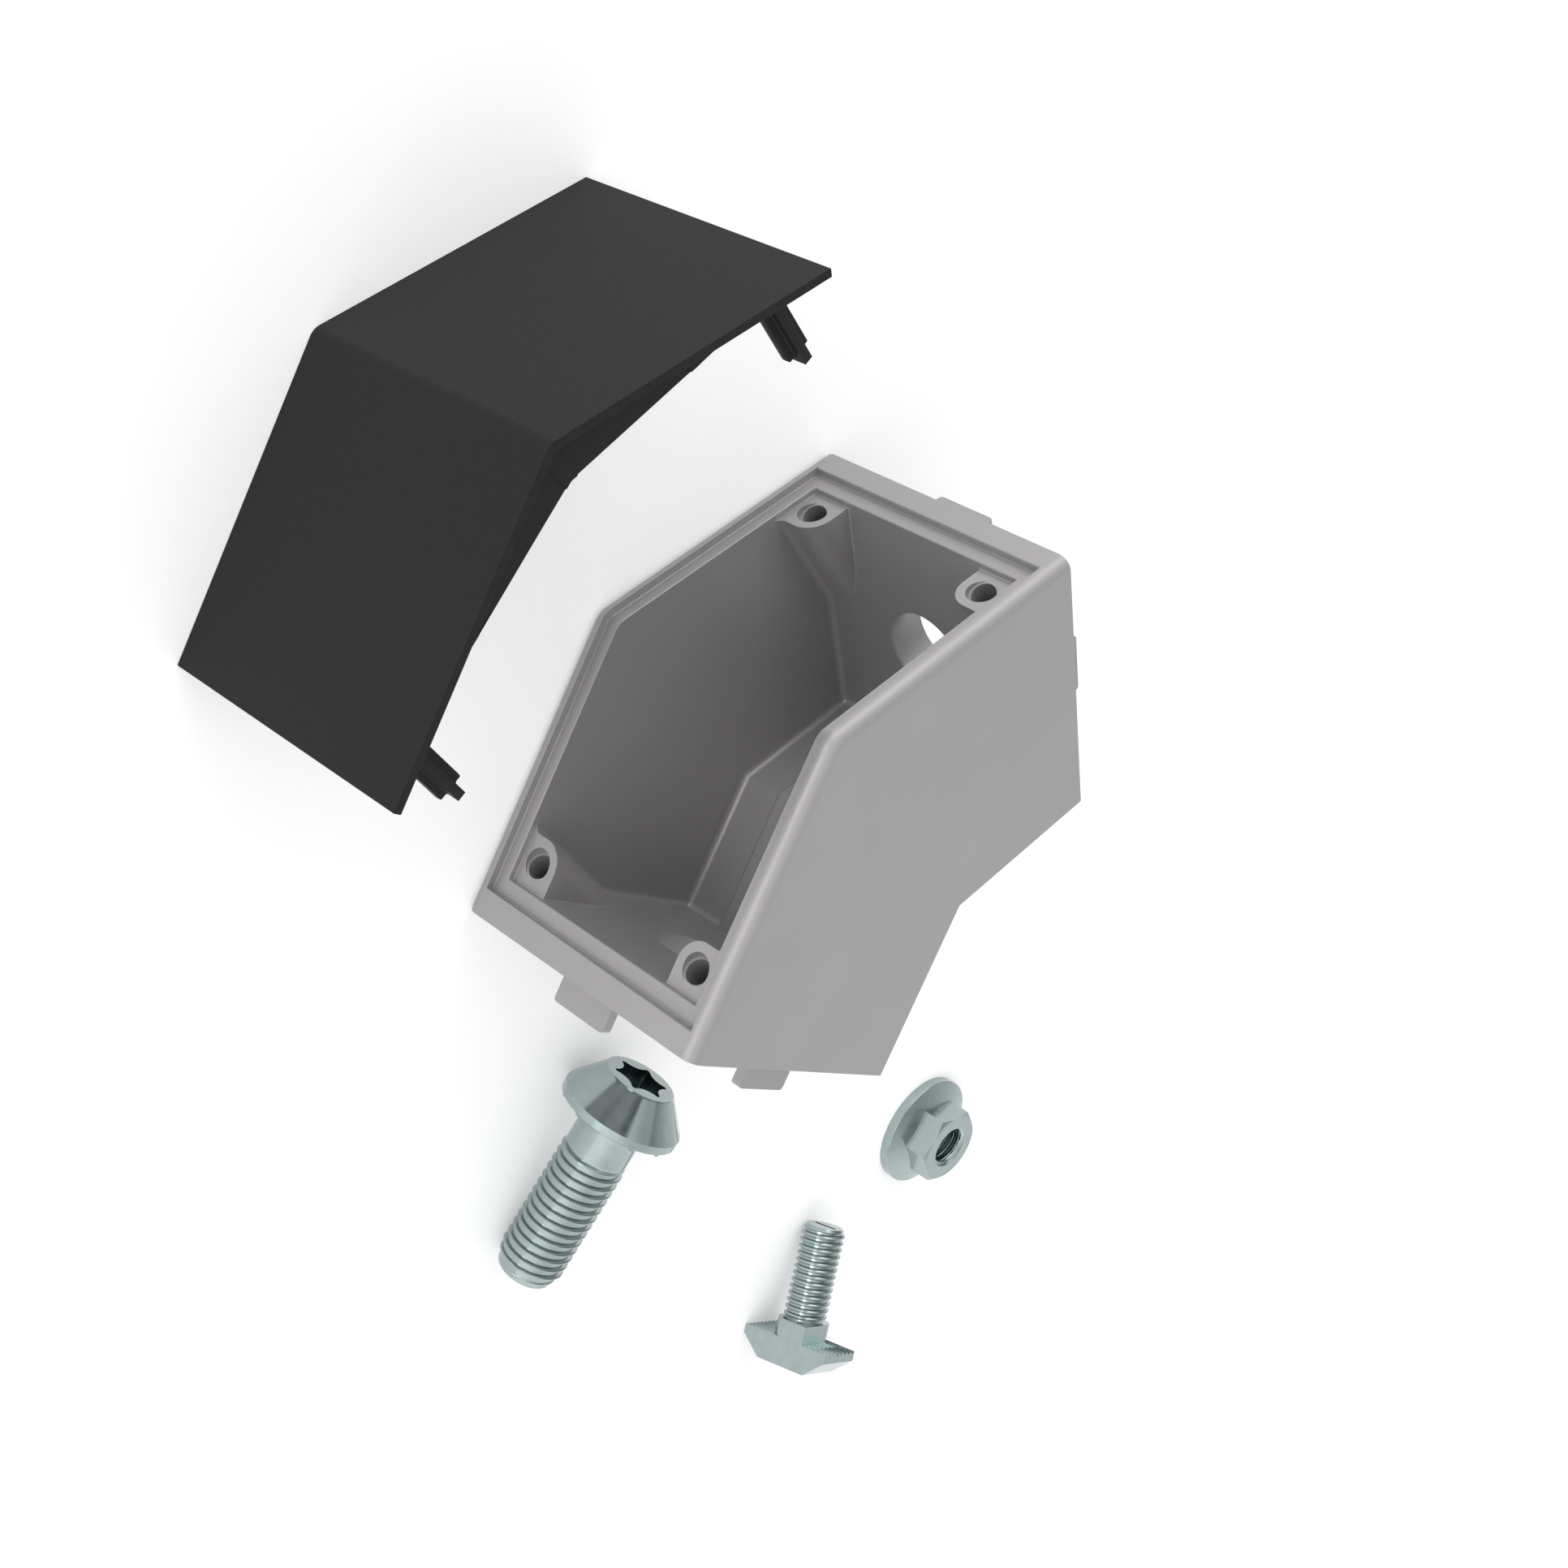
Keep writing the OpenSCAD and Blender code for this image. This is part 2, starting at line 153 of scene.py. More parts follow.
def at(place: Point) -> Matrix:
    """Returns the move from the origin to a place in millimetres."""
    return Matrix.Translation([along * MM for along in place])


def block(size: Point, place: Point = (0.0, 0.0, 0.0)) -> bpy.types.Object:
    """Adds a block with its place in its mesh.

    Args:
        size: Its width along x, y and z, in millimetres.
        place: Its middle, in millimetres.

    Returns:
        The block.
    """
    bpy.ops.object.select_all(action="DESELECT")
    bpy.ops.mesh.primitive_cube_add(size=1)
    made = bpy.context.object
    made.data.transform(at(place) @ Matrix.Diagonal((*(width * MM for width in size), 1)))
    return made


def copy_of(node: str, name: str) -> bpy.types.Object:
    """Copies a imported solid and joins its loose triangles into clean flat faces.

    Args:
        node: The solid's name.
        name: The copy's name.

    Returns:
        The copy, with its place in its mesh.
    """
    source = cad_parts[node]
    mesh = source.data.copy()
    mesh.transform(source.matrix_world)
    mesh.materials.clear()
    if "custom_normal" in mesh.attributes:
        mesh.attributes.remove(mesh.attributes["custom_normal"])
    piece = linked(name, mesh)
    with editing(piece):
        bpy.ops.mesh.remove_doubles(threshold=TOUCH)
        bpy.ops.mesh.dissolve_limited(angle_limit=FLAT)
    return piece


def cut(piece: bpy.types.Object, cutter: bpy.types.Object) -> None:
    """Cuts one closed piece out of another and removes the cutter.

    Args:
        piece: The piece that is cut.
        cutter: The piece whose space is taken out of it.
    """
    tool = piece.modifiers.new("cut", "BOOLEAN")
    tool.operation = "DIFFERENCE"
    tool.solver = "EXACT"
    tool.object = cutter
    apply_all(piece)
    bpy.data.objects.remove(cutter)
    with editing(piece):
        bpy.ops.mesh.remove_doubles(threshold=TOUCH)
        bpy.ops.mesh.dissolve_degenerate(threshold=TOUCH)


def join(parts: list[bpy.types.Object]) -> bpy.types.Object:
    """Joins parts into the first one.

    Args:
        parts: The parts.

    Returns:
        The first part, with all the meshes.
    """
    activate(parts[0])
    for part in parts[1:]:
        part.select_set(True)
    bpy.ops.object.join()
    return parts[0]


def smooth_below(piece: bpy.types.Object, degrees: float) -> None:
    """Shades a piece smooth, but for edges that are sharper than an angle in degrees."""
    activate(piece)
    bpy.ops.object.shade_smooth_by_angle(angle=math.radians(degrees))


def round_bend(piece: bpy.types.Object, x: float, least_y: float, radius: float,
               segments: int = 6, near: float = 0.01, least_angle: float = 1.0) -> None:
    """Rounds the edges of a bend that lie in the plane between the two arms.

    Args:
        piece: A closed piece with clean faces.
        x: Place of that plane, in millimetres.
        least_y: Edges below this place aren't rounded, in millimetres.
        radius: Radius of the rounding, in millimetres.
        segments: Number of faces across the rounding.
        near: How far off the plane an edge may be, in millimetres.
        least_angle: Angle in degrees under which an edge is left as it is.
    """
    with editing(piece):
        bpy.ops.mesh.select_all(action="DESELECT")
        bpy.ops.mesh.select_mode(type="EDGE")
        mesh = bmesh.from_edit_mesh(piece.data)
        for edge in mesh.edges:
            flush = all(abs(v.co.x / MM - x) < near and v.co.y / MM > least_y for v in edge.verts)
            if flush and edge.is_convex and edge.calc_face_angle(0.0) > math.radians(least_angle):
                edge.select_set(True)
        bmesh.update_edit_mesh(piece.data)
        bpy.ops.mesh.bevel(offset=radius * math.tan(HALF_BEND) * MM, offset_type="OFFSET",
                           segments=segments, affect="EDGES", clamp_overlap=False)


@dataclass(frozen=True)
class EdgeSoftener:
    """Rounds a piece's sharp edges, each as far as its neighbours leave room.

    Attributes:
        outer: Width of the rounding on edges that stand out, in millimetres.
        inner: Width of the rounding in corners, in millimetres.
        share: Share of the free space beside an edge that its rounding may take.
        sharp: Angle in degrees over which an edge counts as sharp.
        least: Width in millimetres under which a run of edges is left sharp.
        shaded_sharp: Angle in degrees over which an edge is shaded sharp afterwards.
    """

    outer: float
    inner: float
    share: float = 0.4
    sharp: float = 44.0
    least: float = 0.04
    shaded_sharp: float = 35.0

    # Places along an edge where the space beside it is measured
    SAMPLES = (0.15, 0.5, 0.85)
    # Cosine over which a neighbour goes on along the edge, so that it leaves room
    GOES_ON = 0.85
    # Cosine under which two edges at a point are one run
    ONE_RUN = -0.5

    def room(self, edge: bmesh.types.BMEdge, most: float) -> float:
        """Measures the free space beside an edge on both of its faces.

        Args:
            edge: The edge to be rounded.
            most: The largest space that matters, in metres.

        Returns:
            The smaller of the two spaces, in metres.
        """
        a, b = edge.verts[0].co, edge.verts[1].co
        along = (b - a).normalized()
        samples = [a.lerp(b, t) for t in self.SAMPLES]
        found = most
        for face in edge.link_faces:
            for other in face.edges:
                if other is edge:
                    continue
                p, q = other.verts[0].co, other.verts[1].co
                d = q - p
                if set(other.verts) & set(edge.verts):
                    if d.length and abs(along.dot(d) / d.length) < self.GOES_ON:
                        found = min(found, along.cross(d).length)
                    continue
                for s in samples:
                    t = max(0.0, min(1.0, (s - p).dot(d) / max(d.length_squared, TOUCH ** 2)))
                    found = min(found, (s - (p + d * t)).length)
        return found

    def runs(self, edges: list[bmesh.types.BMEdge]) -> list[list[bmesh.types.BMEdge]]:
        """Groups sharp edges into runs that go on nearly straight, so that a run has one width.

        Args:
            edges: The sharp edges.

        Returns:
            The runs, each a list of edges.
        """
        left = set(edges)
        found = []
        while left:
            run, todo = [], [left.pop()]
            while todo:
                edge = todo.pop()
                run.append(edge)
                for vert in edge.verts:
                    here = (edge.other_vert(vert).co - vert.co).normalized()
                    for other in vert.link_edges:
                        there = (other.other_vert(vert).co - vert.co).normalized()
                        if other in left and there.dot(here) < self.ONE_RUN:
                            left.remove(other)
                            todo.append(other)
            found.append(run)
        return found

    def soften(self, piece: bpy.types.Object, most: Callable[[Vector], float] | None = None,
               segments: int = 3) -> None:
        """Rounds the sharp edges of a piece and smooths its shading.

        Args:
            piece: A closed piece with clean faces.
            most: Gives the largest width that a corner may have at a place, both in millimetres.
            segments: Number of faces across each rounding.
        """
        widest = max(self.outer, self.inner) * MM
        mesh = bmesh.new()
        mesh.from_mesh(piece.data)
        weights = mesh.edges.layers.float.new("bevel_weight_edge")
        sharp = [e for e in mesh.edges
                 if len(e.link_faces) == 2 and e.calc_face_angle(0.0) > math.radians(self.sharp)]
        for run in self.runs(sharp):
            width = min(min((self.outer if e.is_convex else self.inner) * MM,
                            self.share * self.room(e, 4 * widest)) for e in run)
            if most:
                middles = [(e.verts[0].co + e.verts[1].co) / 2 / MM for e in run if not e.is_convex]
                width = min([width] + [most(middle) * MM for middle in middles])
            for edge in run:
                edge[weights] = width / widest if width > self.least * MM else 0.0
        mesh.to_mesh(piece.data)
        mesh.free()
        rounding = piece.modifiers.new("rounding", "BEVEL")
        rounding.limit_method = "WEIGHT"
        rounding.width = widest
        rounding.segments = segments
        rounding.use_clamp_overlap = False
        apply_all(piece)
        smooth_below(piece, self.shaded_sharp)
        flats = piece.modifiers.new("flats", "WEIGHTED_NORMAL")
        flats.keep_sharp = True
        # Large faces count for all, so that they stay flat up to their rounded edges
        flats.weight = 100
        apply_all(piece)


class ThreadForm(Enum):
    """How wide a thread's ridge is at its foot, as half its width over the pitch."""

    FORMING = 0.21
    METRIC = 0.37


@dataclass(frozen=True)
class Thread:
    """A right-hand thread with rounded ridges, whose mesh follows the ridges round the stem.

    Attributes:
        start: Height where the thread starts, in millimetres.
        end: Height where it ends, above the start.
        pitch: Height of one turn.
        crest: Radius over the ridges.
        root: Radius in the grooves.
        form: Width of the ridges.
        foot: Radius that the thread grows from, at its start.
        neck: Radius that it fades to, at its end.
        run_in: Length over which it grows.
        run_out: Length over which it fades.
    """

    start: float
    end: float
    pitch: float
    crest: float
    root: float
    form: ThreadForm
    foot: float
    neck: float
    run_in: float = 1.0
    run_out: float = 1.0

    # Half of a ridge: place from its foot to its top, and height there, both between 0 and 1
    RIDGE = ((0.0, 0.0), (0.2, 0.36), (0.45, 0.74), (0.72, 0.95), (1.0, 1.0))

    def rows(self) -> list[tuple[float, float]]:
        """Lists the rows of points along the thread, over one turn more than it has.

        Returns:
            Each row's place in turns and its height on the ridge between 0 and 1.
        """
        half = self.form.value
        rising = [(0.5 - half * (1 - place), rise) for place, rise in self.RIDGE]
        turn = [(0.0, 0.0)] + rising + [(1 - place, rise) for place, rise in reversed(rising[:-1])]
        count = math.ceil((self.end - self.start) / self.pitch) + 1
        return [(k + place, rise) for k in range(count) for place, rise in turn] + [(float(count), 0.0)]

    def point(self, turns: float, rise: float) -> tuple[float, float]:
        """Works out a point on the thread, kept between its two ends.

        Args:
            turns: Place of its row, in turns from the start.
            rise: Height on the ridge, between 0 and 1.

        Returns:
            The point's radius and height.
        """
        z = min(max(self.start + self.pitch * turns, self.start), self.end)
        radius = self.root + (self.crest - self.root) * rise
        grown, left = (z - self.start) / self.run_in, (self.end - z) / self.run_out
        if grown < 1:
            radius = self.foot + (radius - self.foot) * grown
        if left < 1:
            radius = self.neck + (radius - self.neck) * left
        return radius, z

    def turn(self, name: str, below: Outline, above: Outline, steps: int) -> bpy.types.Object:
        """Turns a stem with this thread into a closed mesh.

        Args:
            name: The new object's name.
            below: Radius and height of the outline from the axis up to the thread.
            above: Radius and height of the outline from the thread back to the axis.
            steps: Number of steps round the axis.

        Returns:
            The turned piece.
        """
        rows = self.rows()
        # The rows of one turn, by which the last column's rows lie ahead of the first column's
        per_turn = 2 * len(self.RIDGE)
        first, last = len(below), len(below) + len(rows) - 1
        high = last + 1 + len(above)
        verts, faces = [], []
        for k in range(steps):
            column = below + [self.point(place + k / steps - 1, rise) for place, rise in rows] + above
            c, s = math.cos(math.tau * k / steps), math.sin(math.tau * k / steps)
            verts += [(r * c * MM, r * s * MM, z * MM) for r, z in column]
        for k in range(steps):
            for i in range(high - 1):
                ahead = [i, i + 1] if k < steps - 1 else [
                    min(j + per_turn, last) if first <= j <= last else j for j in (i, i + 1)]
                beside = (k + 1) % steps * high
                faces.append((k * high + i, beside + ahead[0], beside + ahead[1], k * high + i + 1))
        mesh = bpy.data.meshes.new(name)
        mesh.from_pydata(verts, [], faces)
        piece = linked(name, mesh)
        with editing(piece):
            bpy.ops.mesh.remove_doubles(threshold=TOUCH)
            bpy.ops.mesh.normals_make_consistent(inside=False)
        return piece


@dataclass(frozen=True)
class Finish:
    """A surface finish that builds its own material.

    Attributes:
        name: The material's name.
        pale: Its palest colour.
        dark: Its darkest colour.
        rough_from: Roughness where it shines most.
        rough_to: Roughness where it shines least.
    """

    name: str
    pale: str
    dark: str
    rough_from: float
    rough_to: float

    def noise(self, tree: bpy.types.NodeTree, place: Socket, size_mm: float, detail: float) -> Socket:
        """Adds a noise pattern.

        Args:
            tree: The material's node tree.
            place: The object coordinates.
            size_mm: How large its clouds are, in millimetres.
            detail: How many finer layers it has.

        Returns:
            The pattern's output, between 0 and 1.
        """
        made = {"Vector": place, "Scale": 1 / MM / size_mm, "Detail": detail}
        return add_node(tree, "ShaderNodeTexNoise", made).outputs[0]

    def tone(self, tree: bpy.types.NodeTree, pattern: Socket) -> Socket:
        """Returns a colour between the dark and the pale one, by a pattern."""
        mixed = add_node(tree, "ShaderNodeMix", {
            "Factor": pattern, MIX_A: linear(self.dark), MIX_B: linear(self.pale)}, data_type="RGBA")
        return mixed.outputs[MIX_OUT]

    def sheen(self, tree: bpy.types.NodeTree, pattern: Socket) -> Socket:
        """Returns a roughness between the least and the most, by a pattern."""
        spread = {"Value": pattern, "To Min": self.rough_from, "To Max": self.rough_to}
        return add_node(tree, "ShaderNodeMapRange", spread).outputs[0]

    def surface(self, tree: bpy.types.NodeTree, place: Socket) -> Socket:
        """Builds the surface's nodes.

        Args:
            tree: The material's node tree.
            place: The object coordinates.

        Returns:
            The shader's output socket.
        """
        raise NotImplementedError

    def material(self) -> bpy.types.Material:
        """Builds the material with its output.

        Returns:
            The material.
        """
        made = bpy.data.materials.new(self.name)
        made.use_nodes = True
        tree = made.node_tree
        tree.nodes.clear()
        place = add_node(tree, "ShaderNodeTexCoord").outputs["Object"]
        add_node(tree, "ShaderNodeOutputMaterial", {"Surface": self.surface(tree, place)})
        return made


@dataclass(frozen=True)
class DieCastAluminium(Finish):
    """Aluminium as it leaves the die and is fine blasted: a satin grey with a soft, even sheen.

    The eye sees no colour of its own, only a grey that darkens where the walls mirror each other,
    with faint clouds from the flow of the metal and a fine grain from the blasting.
    """

    name: str = "die_cast_aluminium"
    pale: str = "#a5a3a4"
    dark: str = "#9f9d9e"
    rough_from: float = 0.39
    rough_to: float = 0.49
    metal: float = 0.45
    cloud_mm: float = 14.0
    # The blasting's own grain, about 0.1 mm, is too fine for the picture and drawn coarser
    grain_mm: float = 0.5
    grain_high_mm: float = 0.02
    grain_strength: float = 0.12

    def surface(self, tree: bpy.types.NodeTree, place: Socket) -> Socket:
        """Builds clouds of tone, a fine grain and a satin metal shader."""
        clouds = self.noise(tree, place, self.cloud_mm, 3.0)
        grain = self.noise(tree, place, self.grain_mm, 2.0)
        bump = add_node(tree, "ShaderNodeBump", {
            "Strength": self.grain_strength, "Distance": self.grain_high_mm * MM, "Height": grain})
        return add_node(tree, "ShaderNodeBsdfPrincipled", {
            "Base Color": self.tone(tree, clouds), "Metallic": self.metal,
            "Roughness": self.sheen(tree, grain), "Normal": bump.outputs[0]}).outputs[0]


@dataclass(frozen=True)
class MouldedBlackNylon(Finish):
    """Black glass-filled nylon from a finely spark-eroded mould: near black, matte, with a fine grain.

    The eye sees an even dark grey, a little paler where the light grazes it.
    """

    name: str = "moulded_black_nylon"
    pale: str = "#1a1a1b"
    dark: str = "#161617"
    rough_from: float = 0.49
    rough_to: float = 0.61
    specular: float = 0.22
    # The mould's own grain, about 0.15 mm, is drawn coarser so that it shows
    grain_mm: float = 0.6
    grain_high_mm: float = 0.03
    grain_strength: float = 0.2

    def surface(self, tree: bpy.types.NodeTree, place: Socket) -> Socket:
        """Builds the mould's grain and a matte plastic shader."""
        grain = self.noise(tree, place, self.grain_mm, 3.0)
        bump = add_node(tree, "ShaderNodeBump", {
            "Strength": self.grain_strength, "Distance": self.grain_high_mm * MM, "Height": grain})
        return add_node(tree, "ShaderNodeBsdfPrincipled", {
            "Base Color": self.tone(tree, grain), "Roughness": self.sheen(tree, grain),
            "Specular IOR Level": self.specular, "Normal": bump.outputs[0]}).outputs[0]


@dataclass(frozen=True)
class ZincPlate(Finish):
    """Clear passivated zinc plating on cold-formed steel: bright, smooth and slightly blue-green.

    The eye sees a cool metal that mirrors the room softly, with a faint mottle from the plating bath.
    """

    name: str = "zinc_plated_steel"
    pale: str = "#a9b7b6"
    dark: str = "#97a5a4"
    rough_from: float = 0.09
    rough_to: float = 0.23
    mottle_mm: float = 1.6

    def surface(self, tree: bpy.types.NodeTree, place: Socket) -> Socket:
        """Builds the plating's mottle and a smooth metal shader."""
        mottle = self.noise(tree, place, self.mottle_mm, 4.0)
        return add_node(tree, "ShaderNodeBsdfPrincipled", {
            "Base Color": self.tone(tree, mottle), "Metallic": 1.0,
            "Roughness": self.sheen(tree, mottle)}).outputs[0]


@dataclass
class Piece:
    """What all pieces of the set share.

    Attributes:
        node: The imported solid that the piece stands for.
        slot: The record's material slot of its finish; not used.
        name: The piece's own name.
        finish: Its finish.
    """

    node: str
    slot: str
    name: str
    finish: Finish

    def build(self) -> bpy.types.Object:
        """Builds the piece's mesh in its place and returns the piece."""
        raise NotImplementedError

    def dress(self) -> bpy.types.Object:
        """Builds the piece, gives it its finish and lets it stand for its solid.

        Returns:
            The finished piece.
        """
        piece = self.build()
        piece.data.materials.clear()
        piece.data.materials.append(self.finish.material())
        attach(piece, "root")
        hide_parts(self.node)
        LOG.info("%s: %d faces", self.name, len(piece.data.polygons))
        return piece


@dataclass
class Housing(Piece):
    """The cast elbow housing with its rims, ledge, bosses, pad and lugs.

    Attributes:
        edges: How its edges are rounded.
        bend_r: Radius of the rims' bend.
        rim_from: Place along y over which edges of the bend belong to the rims.
        boss_top_at: Height of the bosses' tops over the arms' axes.
        hollow_floor_at: Height under which a corner is at the hollow's floor.
        seat_corner: Width of the corners round the cap's seat.
        floor_corner: Width of the corners along the hollow's floor.
    """

    node: str = "housing"
    slot: str = "cast_housing"
    name: str = "elbow_housing"
    finish: Finish = field(default_factory=DieCastAluminium)
    edges: EdgeSoftener = EdgeSoftener(outer=0.22, inner=1.2)
    bend_r: float = 2.6
    rim_from: float = 20.0
    boss_top_at: float = 20.3
    hollow_floor_at: float = -16.0
    seat_corner: float = 0.12
    floor_corner: float = 0.4

    def corner_width(self, place: Vector) -> float:
        """Works out the widest rounding of a corner: fine round the cap's seat, wide between the walls.

        Args:
            place: The corner's middle, in millimetres.

        Returns:
            The width, in millimetres.
        """
        height = abs(place.x) * math.sin(HALF_BEND) + place.y * math.cos(HALF_BEND)
        just_below = 0.1
        if height > self.boss_top_at - just_below:
            return self.seat_corner
        return self.floor_corner if height < self.hollow_floor_at else self.edges.inner

    def build(self) -> bpy.types.Object:
        """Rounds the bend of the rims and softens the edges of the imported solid's copy.

        Returns:
            The piece.
        """
        piece = copy_of(self.node, self.name)
        round_bend(piece, 0.0, self.rim_from, self.bend_r)
        self.edges.soften(piece, self.corner_width)
        return piece


@dataclass
class CoverCap(Piece):
    """The moulded cap with its webs, ribs and cross-shaped pegs."""

    node: str = "cover_cap"
    slot: str = "black_plastic"
    name: str = "push_on_cap"
    finish: Finish = field(default_factory=MouldedBlackNylon)
    edges: EdgeSoftener = EdgeSoftener(outer=0.15, inner=0.3)
    bend_x: float = -4.3
    bend_y: float = 87.0
    bend_r: float = 2.0

    def build(self) -> bpy.types.Object:
        """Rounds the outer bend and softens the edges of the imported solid's copy.

        Returns:
            The piece.
        """
        piece = copy_of(self.node, self.name)
        round_bend(piece, self.bend_x, self.bend_y, self.bend_r)
        self.edges.soften(piece)
        return piece


@dataclass
class FlangeScrew(Piece):
    """The thread-forming screw with its flange, six-lobed socket and locking nibs. Sizes in millimetres.

    Its origin is on its axis in the flange's lower face, and z points to the head's top.

    Attributes:
        flute_r: Radius of the six ribs that stand into the socket.
        flute_at: How far their middles are from the axis.
        nib_size: A nib's length along the radius, width and height.
        nib_foot: Width of a nib's free end, as a share of its width.
        nib_in: How far its middle lies within the flange's edge.
        nib_h: How far it stands out under the flange.
        place: Where the screw's origin lies on the bench.
        lean: How far its axis is off the level, in radians.
        steps: Number of steps round its axis.
        shaded_sharp: Angle in degrees over which an edge is shaded sharp.
    """

    node: str = "flange_screw"
    slot: str = "zinc_screw"
    name: str = "six_lobed_flange_screw"
    finish: Finish = field(default_factory=ZincPlate)
    length: float = 30.0
    shank_r: float = 5.1
    shank_len: float = 7.0
    tip_r: float = 4.5
    flange_r: float = 9.75
    rim: float = 1.4
    head_h: float = 6.7
    top_r: float = 5.75
    socket_r: float = 4.4
    flute_r: float = 2.8
    flute_at: float = 6.0
    socket_deep: float = 4.2
    nibs: int = 12
    nib_size: Point = (1.1, 1.0, 0.9)
    nib_foot: float = 0.5
    nib_in: float = 0.75
    nib_h: float = 0.35
    place: Point = (-50.6, -38.6, 9.638)
    lean: float = math.radians(8.678)
    steps: int = 144
    shaded_sharp: float = 30.0
    thread: Thread = Thread(start=-29.5, end=-7.0, pitch=1.53, crest=5.4, root=4.8, form=ThreadForm.FORMING,
                            foot=4.5, neck=5.08, run_in=2.4, run_out=0.7)

    # Outlines as steps of radius and height, from the tip's edge, the shank at the flange,
    # the flange's lower edge and the head's top edge
    TIP_EDGE = ((-0.7, 0.0), (-0.25, 0.12), (0.0, 0.45))
    UNDER_FLANGE = ((0.0, -0.5), (0.15, -0.15), (0.5, 0.0))
    FLANGE_EDGE = ((-0.12, 0.0), (0.0, 0.1))
    TOP_EDGE = ((0.12, -0.32), (0.0, -0.1), (-0.14, 0.0))
    # The socket's end, as shares of its radius and heights over its floor
    SOCKET_END = ((0.97, 0.15), (0.9, 0.0), (0.03, -0.8), (0.0, -0.82))

    def socket_radius(self, turn: float) -> float:
        """Works out the socket's radius in a direction.

        Args:
            turn: The direction, in radians.

        Returns:
            The radius, in millimetres.
        """
        half_lobe = math.pi / 6
        away = half_lobe - abs((turn + half_lobe) % (2 * half_lobe) - half_lobe)
        side = self.flute_at * math.sin(away)
        if side >= self.flute_r:
            return self.socket_r
        near = self.flute_at * math.cos(away) - math.sqrt(self.flute_r ** 2 - side ** 2)
        return min(self.socket_r, near)

    def nib(self, turn: float) -> bpy.types.Object:
        """Builds one locking nib under the flange's rim.

        Args:
            turn: Its direction round the screw, in radians.

        Returns:
            The nib.
        """
        nib = block(self.nib_size)
        for vert in nib.data.vertices:
            if vert.co.z < 0:
                vert.co.y *= self.nib_foot
        place = (self.flange_r - self.nib_in, 0.0, self.nib_size[2] / 2 - self.nib_h)
        nib.data.transform(Matrix.Rotation(turn, 4, "Z") @ at(place))
        return nib

    def build(self) -> bpy.types.Object:
        """Turns the screw with its thread, shapes its socket, adds the nibs and lays it down.

        Returns:
            The piece.
        """
        tip, floor = -self.length, self.head_h - self.socket_deep
        past_thread, near = 0.3, 0.01
        below = [(0.0, tip)] + [(self.tip_r + r, tip + z) for r, z in self.TIP_EDGE]
        above = ([(self.shank_r, past_thread - self.shank_len)]
                 + [(self.shank_r + r, z) for r, z in self.UNDER_FLANGE]
                 + [(self.flange_r + r, z) for r, z in self.FLANGE_EDGE] + [(self.flange_r, self.rim)]
                 + [(self.top_r + r, self.head_h + z) for r, z in self.TOP_EDGE]
                 + [(self.socket_r, self.head_h)]
                 + [(self.socket_r * share, floor + z) for share, z in self.SOCKET_END])
        piece = self.thread.turn(self.name, below, above, self.steps)
        for vert in piece.data.vertices:
            if vert.co.z > 0 and math.hypot(vert.co.x, vert.co.y) < (self.socket_r + near) * MM:
                scale = self.socket_radius(math.atan2(vert.co.y, vert.co.x)) / self.socket_r
                vert.co.x *= scale
                vert.co.y *= scale
        piece = join([piece] + [self.nib(math.tau * i / self.nibs) for i in range(self.nibs)])
        laid = Matrix.Rotation(self.lean - math.pi / 2, 4, "Y")
        piece.data.transform(at(self.place) @ Matrix.Rotation(math.pi + HALF_BEND, 4, "Z") @ laid)
        smooth_below(piece, self.shaded_sharp)
        return piece


